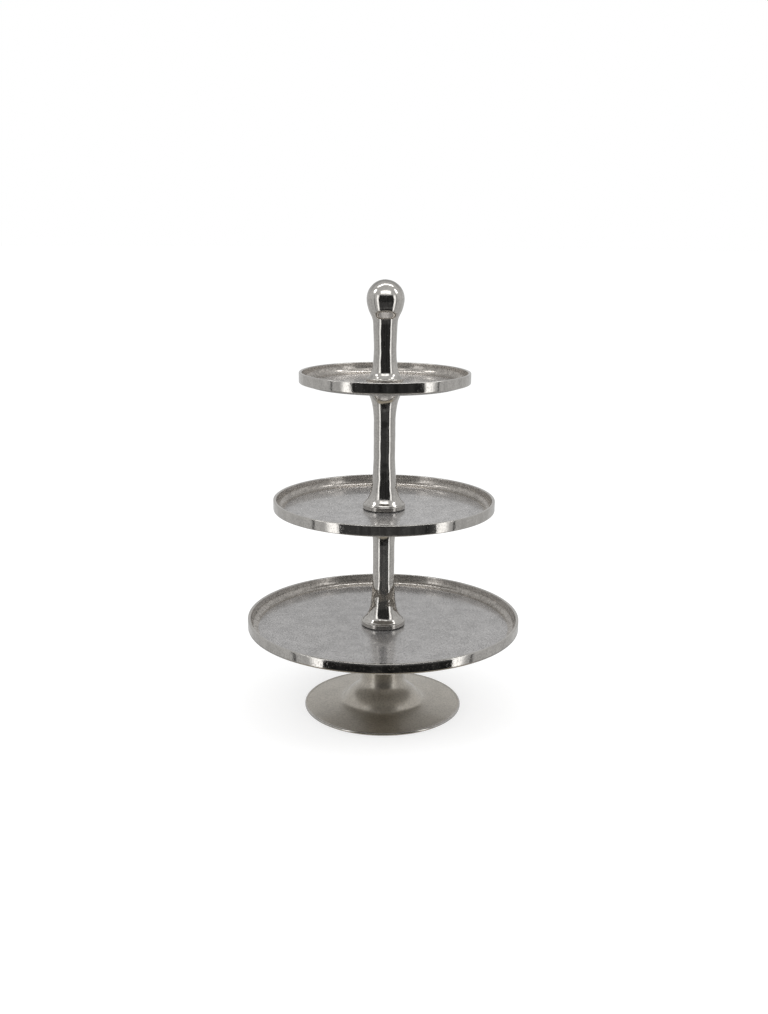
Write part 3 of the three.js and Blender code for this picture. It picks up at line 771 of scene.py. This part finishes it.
# Threads and the bolt
def threaded(name, base, runs, sizes, materials, head=False):
    """A screw from its foot up. Each run is (length, has a thread); free ends are chamfered."""
    total_length = sum(run[0] for run in runs)
    shank = sizes.thread - sizes.depth / 2
    rows = round(total_length / sizes.pitch * THREAD_ROWS)
    vertices, faces, rings = [], [], []

    def radius_at(height, angle):
        start = 0.0
        for size, has_thread in runs:
            if height <= start + size + SAME_HEIGHT:
                break
            start += size
        if not has_thread:
            return shank
        phase = (height / sizes.pitch - angle / math.tau) % 1.0
        slope = min(1.0, max(0.0, (abs(phase - 0.5) * 2 - ROOT_SHARE) / FLANK_SHARE))
        radius = sizes.thread - sizes.depth * (1 - slope)
        inner = sizes.thread - sizes.chamfer
        run_in = min(height, total_length - height)
        if head:
            run_in = total_length - height
        return min(radius, inner + run_in)

    for row in range(rows + 1):
        height = total_length * row / rows
        rings.append(range(len(vertices), len(vertices) + SCREW_SIDES))
        for j in range(SCREW_SIDES):
            angle = math.tau * j / SCREW_SIDES
            radius = radius_at(height, angle)
            vertices.append((radius * math.cos(angle), radius * math.sin(angle), base + height))
    for low, high in zip(rings, rings[1:]):
        faces += bridged(low, high)
    faces.append(tuple(rings[-1]))
    if head:
        head_faces(vertices, faces, rings[0], base, sizes)
    else:
        faces.append(tuple(reversed(rings[0])))
    return mesh_object(name, vertices, faces, None, materials, SCREW_CREASE)


def head_faces(vertices, faces, shank_ring, base, sizes):
    """Adds a hexagonal head under a shank, its outer face chamfered all round."""
    half = sizes.across_flats / 2
    face_radius = half * HEAD_SHARES["face"]
    bottom = base - sizes.head

    def hexagon(angle):
        turn = (angle + math.pi / 6) % (math.pi / 3) - math.pi / 6
        return half / math.cos(turn)

    def ring(radius_of, height_of):
        first = len(vertices)
        for j in range(HEAD_SIDES):
            angle = math.tau * j / HEAD_SIDES
            radius = radius_of(angle)
            vertices.append((radius * math.cos(angle), radius * math.sin(angle), height_of(radius)))
        return range(first, first + HEAD_SIDES)

    chamfer = math.tan(math.radians(30))
    rings = [
        ring(lambda a: sizes.thread * HEAD_SHARES["collar"], lambda r: base),
        ring(lambda a: half * HEAD_SHARES["seat"], lambda r: base),
        ring(hexagon, lambda r: base - sizes.head_edge),
        ring(hexagon, lambda r: bottom + (r - face_radius) * chamfer),
        ring(lambda a: face_radius, lambda r: bottom),
        ring(lambda a: face_radius * HEAD_SHARES["middle"], lambda r: bottom),
    ]
    for high, low in zip(rings, rings[1:]):
        faces += bridged(low, high)
    faces.append(tuple(reversed(rings[-1])))
    sides = len(shank_ring)
    share = HEAD_SIDES // sides
    for j in range(sides):
        outer = [rings[0][(j * share + n) % HEAD_SIDES] for n in range(share + 1)]
        faces.append((*outer, shank_ring[(j + 1) % sides], shank_ring[j]))


def lock_washer(name, node, sizes, materials):
    """A split spring washer: a square wire bent to a ring, its ends a little apart."""
    low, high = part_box(node)
    inner, outer = sizes.plate_inner, high.x
    middle = (inner + outer) / 2
    half_gap = sizes.slit / 2 / middle
    half_height = (high.z - low.z) / 2
    section = ring_outline(inner, outer, low.z + sizes.spring, high.z - sizes.spring, sizes.edge)
    vertices, faces = [], []
    for i in range(RING_SIDES + 1):
        share = i / RING_SIDES
        angle = half_gap + (math.tau - 2 * half_gap) * share
        rise = sizes.spring * (2 * share - 1)
        for radius, height in section.points:
            lean = (height - low.z - half_height) * math.tan(math.pi / 9) / middle
            turn = angle - lean
            vertices.append((radius * math.cos(turn), radius * math.sin(turn), height + rise))
    count = len(section.points)
    rings = [range(i * count, (i + 1) * count) for i in range(RING_SIDES + 1)]
    for here, after in zip(rings, rings[1:]):
        faces += bridged(after, here)
    faces.append(tuple(rings[0]))
    faces.append(tuple(reversed(rings[-1])))
    return mesh_object(name, vertices, faces, None, materials, SPRING_CREASE)


def cut_pockets(foot, sizes):
    """Cuts a round pocket into the land for each pad."""
    for node in PADS:
        low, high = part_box(node)
        centre = (low + high) / 2
        outline = Outline()
        outline.run([(0.0, -sizes.wall), (sizes.pocket, -sizes.wall),
                     (sizes.pocket, sizes.pocket_top), (0.0, sizes.pocket_top)])
        cutter = turned("cutter", outline, SMALL_SIDES, [], closed=False)
        cutter.location = (centre.x, centre.y, 0.0)
        bpy.context.view_layer.update()
        cut = foot.modifiers.new("pocket", "BOOLEAN")
        cut.operation = "DIFFERENCE"
        cut.solver = "EXACT"
        cut.object = cutter
        graph = bpy.context.evaluated_depsgraph_get()
        mesh = bpy.data.meshes.new_from_object(foot.evaluated_get(graph))
        foot.modifiers.clear()
        foot.data = mesh
        bpy.data.objects.remove(cutter)


# Operators
def flat_ring(name, node, sizes, sides, materials):
    """A flat washer where a node is."""
    low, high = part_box(node)
    outline = ring_outline(sizes.plate_inner, high.x, low.z, high.z, sizes.edge)
    return turned(name, outline, sides, materials)


class StandOperator:
    """What the stand's operators share."""

    bl_options = {"REGISTER", "UNDO"}


class STAND_OT_foot(StandOperator, bpy.types.Operator):
    """Make the bell-shaped foot with its pockets for the pads"""

    bl_idname = "stand.foot"
    bl_label = "Foot"

    def execute(self, context):
        stand = context.scene.serving_stand
        materials = casting_finishes("satin_foot", stand.finishes)
        outline = foot_outline(stand.foot)
        foot = turned("cast_foot", outline, FOOT_SIDES, materials, seed=SEEDS["foot"])
        cut_pockets(foot, stand.foot)
        seated(foot, "foot")
        return {"FINISHED"}


class STAND_OT_pads(StandOperator, bpy.types.Operator):
    """Make the felt pads under the foot"""

    bl_idname = "stand.pads"
    bl_label = "Pads"

    def execute(self, context):
        stand = context.scene.serving_stand
        edge = stand.foot.pad_round
        felt = [finish("pressed_felt", stand.finishes)]
        for node in PADS:
            low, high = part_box(node)
            radius, height = (high.x - low.x) / 2, high.z - low.z
            outline = Outline()
            outline.run([(0.0, 0.0), (radius / 2, 0.0)])
            outline.run(arc((radius - edge, edge), edge, edge, -QUARTER, 0, 4))
            outline.run([(radius, height), (radius / 2, height), (0.0, height)])
            pad = turned(f"felt_{node}", outline, SMALL_SIDES, felt, closed=False)
            centre = (low + high) / 2
            for vertex in pad.data.vertices:
                vertex.co += Vector((centre.x, centre.y, low.z))
            seated(pad, node)
        return {"FINISHED"}


class STAND_OT_foot_bolt(StandOperator, bpy.types.Operator):
    """Make the foot bolt with its plain washer and its lock washer"""

    bl_idname = "stand.foot_bolt"
    bl_label = "Foot Bolt and Washers"

    def execute(self, context):
        stand = context.scene.serving_stand
        sizes = stand.fasteners
        zinc = [finish("bright_zinc", stand.finishes)]
        low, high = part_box("foot_bolt")
        seat = low.z + sizes.head
        top_run = sizes.engaged + sizes.pitch
        runs = [(high.z - seat - top_run, False), (top_run, True)]
        bolt = threaded("hex_foot_bolt", seat, runs, sizes, zinc, head=True)
        seated(bolt, "foot_bolt")
        washer = flat_ring("plain_washer", "foot_bolt_washer", sizes, WASHER_SIDES, zinc)
        seated(washer, "foot_bolt_washer")
        spring = lock_washer("spring_washer", "foot_lock_washer", sizes, zinc)
        seated(spring, "foot_lock_washer")
        return {"FINISHED"}


class STAND_OT_trays(StandOperator, bpy.types.Operator):
    """Make the three cast trays"""

    bl_idname = "stand.trays"
    bl_label = "Trays"

    def execute(self, context):
        stand = context.scene.serving_stand
        materials = casting_finishes("satin_floor", stand.finishes)
        for node in ("lower_tray", "middle_tray", "upper_tray"):
            outline = tray_outline(node, stand.tray)
            tray = turned(f"cast_{node}", outline, TRAY_SIDES, materials, seed=SEEDS[node])
            seated(tray, node)
        return {"FINISHED"}


class STAND_OT_stems(StandOperator, bpy.types.Operator):
    """Make the two stems between the trays"""

    bl_idname = "stand.stems"
    bl_label = "Stems"

    def execute(self, context):
        stand = context.scene.serving_stand
        sizes = stand.stem
        materials = [finish("hand_polished_nickel", stand.finishes)]
        for node, waist in (("lower_stem", sizes.lower_waist), ("middle_stem", sizes.middle_waist)):
            outline = stem_outline(node, waist, sizes)
            stem = turned(f"turned_{node}", outline, STEM_SIDES, materials, False, SEEDS[node])
            seated(stem, node)
        return {"FINISHED"}


class STAND_OT_handle(StandOperator, bpy.types.Operator):
    """Make the handle with its ball"""

    bl_idname = "stand.handle"
    bl_label = "Handle"

    def execute(self, context):
        stand = context.scene.serving_stand
        materials = [finish("hand_polished_nickel", stand.finishes)]
        outline = handle_outline("handle", stand.stem)
        handle = turned("ball_handle", outline, STEM_SIDES, materials, False, SEEDS["handle"])
        seated(handle, "handle")
        return {"FINISHED"}


class STAND_OT_studs(StandOperator, bpy.types.Operator):
    """Make the studs that join each stem to what stands above it"""

    bl_idname = "stand.studs"
    bl_label = "Studs"

    def execute(self, context):
        stand = context.scene.serving_stand
        sizes = stand.fasteners
        zinc = [finish("bright_zinc", stand.finishes)]
        for node in ("middle_stud", "upper_stud"):
            low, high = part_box(node)
            top_run = sizes.engaged + sizes.pitch
            plain = high.z - low.z - sizes.root - top_run
            runs = [(sizes.root, True), (plain, False), (top_run, True)]
            seated(threaded(f"threaded_{node}", low.z, runs, sizes, zinc), node)
        return {"FINISHED"}


class STAND_OT_seals(StandOperator, bpy.types.Operator):
    """Make the rubber washers under the flanges"""

    bl_idname = "stand.seals"
    bl_label = "Rubber Washers"

    def execute(self, context):
        stand = context.scene.serving_stand
        rubber = [finish("moulded_rubber", stand.finishes)]
        for node in ("lower_stem_washer", "middle_stem_washer", "handle_washer"):
            seal = flat_ring(f"rubber_{node}", node, stand.fasteners, RING_SIDES, rubber)
            seated(seal, node)
        return {"FINISHED"}


# Stage
def seen_plainly(tree):
    """1 for camera, glossy and transmission rays, and 0 for the rest."""
    path = tree.nodes.new("ShaderNodeLightPath").outputs
    either = add(tree, "ShaderNodeMath", {0: path["Is Camera Ray"], 1: path["Is Glossy Ray"]},
                 operation="MAXIMUM")
    return add(tree, "ShaderNodeMath", {0: either, 1: path["Is Transmission Ray"]},
               operation="MAXIMUM")


def white_world(settings):
    """A world that is plain white behind the stand, and a soft light on matt surfaces."""
    world = bpy.data.worlds.new("studio")
    bpy.context.scene.world = world
    world.use_nodes = True
    tree = world.node_tree
    strength = add(tree, "ShaderNodeMapRange",
                   {"Value": seen_plainly(tree), "To Min": settings.sky, "To Max": 1.0})
    fill(tree, tree.nodes["Background"], {"Color": (1, 1, 1, 1), "Strength": strength})


def pale_floor(settings):
    """A round pale floor that keeps the stand's shadow, and is open from below."""
    material = empty_material("pale_floor")
    tree = material.node_tree
    matt = add(tree, "ShaderNodeBsdfDiffuse", {"Color": (*settings.floor, 1)})
    strength = add(tree, "ShaderNodeMapRange",
                   {"Value": seen_plainly(tree), "To Min": 0.0, "To Max": settings.floor_lift})
    lift = add(tree, "ShaderNodeEmission", {"Strength": strength})
    both = add(tree, "ShaderNodeAddShader", {0: matt, 1: lift})
    clear = add(tree, "ShaderNodeBsdfTransparent")
    back = add(tree, "ShaderNodeNewGeometry", output="Backfacing")
    show(tree, add(tree, "ShaderNodeMixShader", {"Fac": back, 1: both, 2: clear}))
    outline = Outline()
    outline.run([(settings.floor_radius, 0.0), (0.0, 0.0)])
    floor = turned("studio_floor", outline, RING_SIDES, [material], closed=False)
    floor.visible_glossy = False


def ease(value, start, end):
    """Runs smoothly from 0 to 1 as the value goes from start to end."""
    t = min(1.0, max(0.0, (value - start) / (end - start)))
    return t * t * (3 - 2 * t)


def mixed(a, b, share):
    """A number between two others."""
    return a + (b - a) * share


def window(value, start, end, soft):
    """1 from start to end and 0 outside, with soft edges."""
    return ease(value, start - soft, start + soft) * (1 - ease(value, end - soft, end + soft))


def cloth_at(turn, rise, settings):
    """Brightness of the tent's cloth, lamps and ground in a direction, and straight below of the
    table under the stand, dimmed there as a painted shadow of the stand.
    """
    away = abs(turn)
    flat = math.cos(math.radians(rise))
    ahead = flat * math.cos(math.radians(turn))
    across = abs(math.degrees(math.asin(flat * math.sin(math.radians(turn)))))
    over = math.degrees(math.atan2(math.sin(math.radians(rise)), ahead))
    back = mixed(settings.cloth * BACK_FOOT_SHARE, settings.back, ease(rise, *BACK_RISE))
    back *= 1 - BACK_DIM_SHARE * ease(rise, *BACK_DIM_RISE)
    cloth = mixed(settings.cloth, back, ease(away, *BACK_TURN))
    folds = math.sin(FOLD_WAVES[0] * turn + FOLD_SHIFT) * math.sin(FOLD_WAVES[1] * turn)
    cloth *= 1 + FOLD_SHARE * folds + CLOTH_LIFT_SHARE * ease(rise, *CLOTH_LIFT_RISE)
    roof = settings.roof * (1 - ROOF_DIM_SHARE * ease(over, *ROOF_DIM_OVER))
    cloth = mixed(cloth, roof, ease(rise, *ROOF_RISE))
    cloth = mixed(cloth, settings.ground, ease(-rise, *GROUND_FALL))
    cloth *= 1 - SEAM_SHARE * window(away, *SEAM_TURN) * (1 - ease(abs(rise), *SEAM_END))
    strip = window(abs(turn - settings.opening_turn), settings.opening, STRIP_END, STRIP_SOFT)
    strip *= (1 - ease(rise, *STRIP_TOP)) * (1 - ease(-rise, *STRIP_FOOT))
    cloth = mixed(cloth, settings.lamp * STRIP_SHARE, strip)
    place = {"turn": away, "rise": rise, "across": across, "over": over}
    for lamp, first, reach, second, width in LAMP_SPOTS:
        share = window(place[first], *reach) * window(place[second], *width)
        cloth = mixed(cloth, getattr(settings, lamp), share)
    # Painted shadow: the table under the stand glows dimmer than a lit white floor, as if in the
    # stand's shadow
    return mixed(cloth, settings.table, ease(-rise, *TABLE_FALL))


def room_at(turn, rise, settings):
    """Brightness of the room that shows in the tent's opening, and of the ground before it."""
    murk = sum(noise.noise(Vector((across * turn, up * rise, layer)))
               for across, up, layer in (SLOW_MURK, FINE_MURK))
    gain = 1 + sum(rest * window(rise, *reach) for rest, reach in ROOM_GLOWS)
    gain -= ROOM_DIM_SHARE * ease(-rise, *ROOM_DIM_FALL)
    dark = settings.dark * gain * (1 + MURK_SHARE * murk)
    return mixed(dark, settings.ground * ROOM_GROUND_SHARE, ease(-rise, *ROOM_GROUND_FALL))


def glow_at(turn, rise, settings):
    """Brightness of the tent in a direction: degrees round from the front, and degrees up."""
    beside = abs(turn - settings.opening_turn)
    edge = settings.opening - OPENING_NARROW * ease(rise, *OPENING_NARROW_RISE)
    edge += OPENING_WIDE * ease(-rise, *OPENING_WIDE_FALL)
    soft = OPENING_SOFT + OPENING_SOFTER * ease(rise, *OPENING_SOFT_RISE)
    inside = (1 - ease(beside, edge - soft, edge + soft)) * (1 - ease(rise, *ROOM_TOP))
    inside *= 1 - ease(-rise, *TABLE_FALL)
    return mixed(cloth_at(turn, rise, settings), room_at(turn, rise, settings), inside)


def tint_at(turn, rise, settings):
    """Colour of the tent in a direction: the ground in front is warmer than the cloth."""
    warm = ease(-rise, *WARM_FALL) * (1 - ease(-rise, *TABLE_FALL))
    warm *= 1 - ease(abs(turn), *WARM_TURN)
    return [mixed(1.0, c, warm) for c in settings.ground_tint]


def light_tent(settings):
    """A dome of cloth round the stand, with a dark opening in front, which only reflections see."""
    reach = settings.tent_radius
    vertices, faces, glow, rings = [], [], [], []
    for row in range(TENT_ROWS + 1):
        rise = math.radians(180 * row / TENT_ROWS - 90)
        flat = math.cos(rise) * reach
        height = settings.tent_centre + math.sin(rise) * reach
        rings.append(range(row * TENT_COLUMNS, (row + 1) * TENT_COLUMNS))
        for column in range(TENT_COLUMNS):
            turn = math.radians(360 * column / TENT_COLUMNS - 180)
            vertices.append((math.sin(turn) * flat, -math.cos(turn) * flat, height))
    for row in range(TENT_ROWS):
        faces += bridged(rings[row], rings[row + 1])
        for column in range(TENT_COLUMNS):
            place = (360 * (column + 0.5) / TENT_COLUMNS - 180, 180 * (row + 0.5) / TENT_ROWS - 90)
            strength = glow_at(*place, settings)
            glow += [*(strength * c for c in tint_at(*place, settings)), 1.0]
    mesh = bpy.data.meshes.new("light_tent")
    mesh.from_pydata(vertices, [], faces)
    layer = mesh.attributes.new("glow", "FLOAT_COLOR", "FACE")
    layer.data.foreach_set("color", glow)
    material = empty_material("tent_cloth")
    tree = material.node_tree
    stored = add(tree, "ShaderNodeAttribute", output="Color", attribute_name="glow")
    show(tree, add(tree, "ShaderNodeEmission", {"Color": stored}))
    mesh.materials.append(material)
    tent = bpy.data.objects.new("light_tent", mesh)
    bpy.context.scene.collection.objects.link(tent)
    tent.visible_camera = False
    tent.visible_diffuse = False
    tent.visible_shadow = False
    tent.visible_transmission = False


def soft_lamp(name, power):
    """A large soft lamp that points at the middle of the stand."""
    place = Vector(LAMP_PLACES[name])
    data = bpy.data.lights.new(name, "AREA")
    data.size = LAMP_SIZE
    data.energy = power
    lamp = bpy.data.objects.new(name, data)
    lamp.location = place
    lamp.rotation_euler = (Vector(LAMP_AIM) - place).to_track_quat("-Z", "Y").to_euler()
    lamp.visible_camera = False
    lamp.visible_glossy = False
    bpy.context.scene.collection.objects.link(lamp)


def photo_camera():
    """The camera at the photo's viewing angle: a little above the stand, with a slight roll."""
    data = bpy.data.cameras.new("camera")
    data.lens = LENS
    data.sensor_width = SENSOR
    camera = bpy.data.objects.new("camera", data)
    camera.location = CAMERA_PLACE
    camera.rotation_mode = "QUATERNION"
    tilt = Euler((QUARTER - PITCH, 0.0, 0.0)).to_quaternion()
    camera.rotation_quaternion = tilt @ Quaternion((0.0, 0.0, 1.0), ROLL)
    bpy.context.scene.collection.objects.link(camera)
    bpy.context.scene.camera = camera


class STAND_OT_stage(StandOperator, bpy.types.Operator):
    """Make the floor, the light tent, the lamps and the camera"""

    bl_idname = "stand.stage"
    bl_label = "Stage"

    def execute(self, context):
        context.scene.view_settings.view_transform = "Standard"
        settings = context.scene.serving_stand.stage
        white_world(settings)
        pale_floor(settings)
        light_tent(settings)
        for name in LAMP_PLACES:
            soft_lamp(name, settings.lamp_power)
        photo_camera()
        return {"FINISHED"}


class ServingStand(bpy.types.PropertyGroup):
    """All the stand's settings"""

    tray: bpy.props.PointerProperty(type=TraySizes, name="Trays", description="Sizes of the trays")
    stem: bpy.props.PointerProperty(type=StemSizes, name="Stems", description="Sizes of the stems")
    foot: bpy.props.PointerProperty(type=FootSizes, name="Foot", description="Sizes of the foot")
    fasteners: bpy.props.PointerProperty(
        type=FastenerSizes, name="Fasteners", description="Sizes of screws and washers")
    finishes: bpy.props.PointerProperty(
        type=Finishes, name="Finishes", description="Colours and roughness")
    stage: bpy.props.PointerProperty(type=StageSettings, name="Stage", description="The studio")


PIECE_OPERATORS = (STAND_OT_foot, STAND_OT_pads, STAND_OT_foot_bolt, STAND_OT_trays, STAND_OT_stems,
                   STAND_OT_studs, STAND_OT_seals, STAND_OT_handle, STAND_OT_stage)


class VIEW3D_PT_serving_stand(bpy.types.Panel):
    """Lists what builds the stand, and its sizes and colours"""

    bl_label = "Serving Stand"
    bl_idname = "VIEW3D_PT_serving_stand"
    bl_space_type = "VIEW_3D"
    bl_region_type = "UI"
    bl_category = "Stand"

    def draw(self, context):
        layout = self.layout
        for operator in PIECE_OPERATORS:
            layout.operator(operator.bl_idname)
        stand = context.scene.serving_stand
        groups = (stand.tray, stand.stem, stand.foot, stand.fasteners, stand.finishes, stand.stage)
        for group in groups:
            box = layout.box()
            box.label(text=group.bl_rna.description)
            for name in group.__annotations__:
                box.prop(group, name)


CLASSES = (TraySizes, StemSizes, FootSizes, FastenerSizes, Finishes, StageSettings, ServingStand,
           *PIECE_OPERATORS, VIEW3D_PT_serving_stand)


def register():
    """Registers the classes and puts the stand's settings on the scene."""
    for cls in CLASSES:
        bpy.utils.register_class(cls)
    bpy.types.Scene.serving_stand = bpy.props.PointerProperty(
        type=ServingStand, name="Serving stand", description="Settings of the serving stand")


def unregister():
    """Takes the settings and the classes away again."""
    del bpy.types.Scene.serving_stand
    for cls in reversed(CLASSES):
        bpy.utils.unregister_class(cls)


def main():
    """Builds the stage and every piece."""
    register()
    bpy.ops.stand.stage()
    bpy.ops.stand.foot()
    bpy.ops.stand.pads()
    bpy.ops.stand.foot_bolt()
    bpy.ops.stand.trays()
    bpy.ops.stand.stems()
    bpy.ops.stand.studs()
    bpy.ops.stand.seals()
    bpy.ops.stand.handle()
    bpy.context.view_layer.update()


if __name__ == "__main__":
    main()
